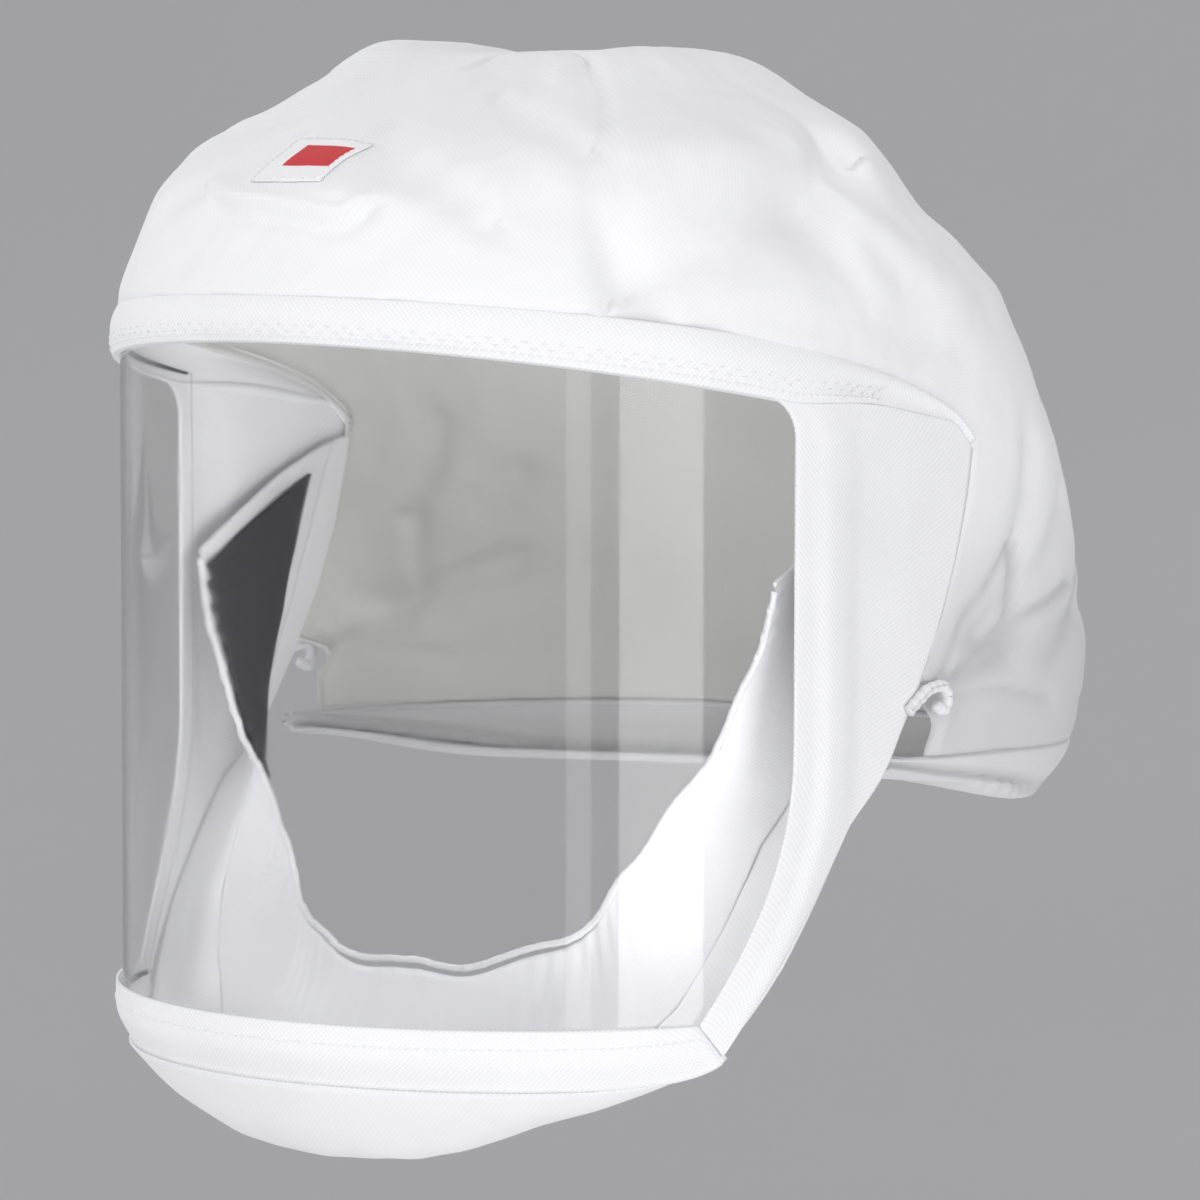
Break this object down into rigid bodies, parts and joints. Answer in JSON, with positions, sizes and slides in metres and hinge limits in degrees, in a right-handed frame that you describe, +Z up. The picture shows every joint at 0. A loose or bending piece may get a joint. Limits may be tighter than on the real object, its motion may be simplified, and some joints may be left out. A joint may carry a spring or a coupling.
{
  "type": "respirator head cover",
  "caption": "Loose white cloth head cover for supplied-air breathing, with a wide curved clear visor, ruffled face seal collar and elasticated nape.",
  "frame": {"origin": "the point under the top of the crown where the cover rests on a head", "axes": "+Z up, the visor faces -Y, the wearer's left is +X"},
  "size_m": [0.2316, 0.2925, 0.2989],
  "materials": {
    "cloth": "matt coated nonwoven cloth",
    "facing": "matt woven facing cloth, stitched",
    "seal": "matt soft cloth, gathered",
    "elastic": "cloth-covered elastic, gathered",
    "lining": "matt dark soft lining",
    "label": "satin sewn patch, blank",
    "visor": "clear glossy plastic sheet"
  },
  "bodies": {
    "root": {"visor": "visor", "brow_band": "facing", "side_panel_left": "facing", "side_panel_right": "facing", "chin_band": "facing", "crown": "cloth", "nape_band": "cloth", "chin_panel": "cloth", "face_seal": "seal", "face_elastic": "elastic", "cheek_lining_left": "lining", "cheek_lining_right": "lining", "elastic_end_left": "elastic", "elastic_end_right": "elastic", "brow_label": "label"}
  },
  "joints": []
}
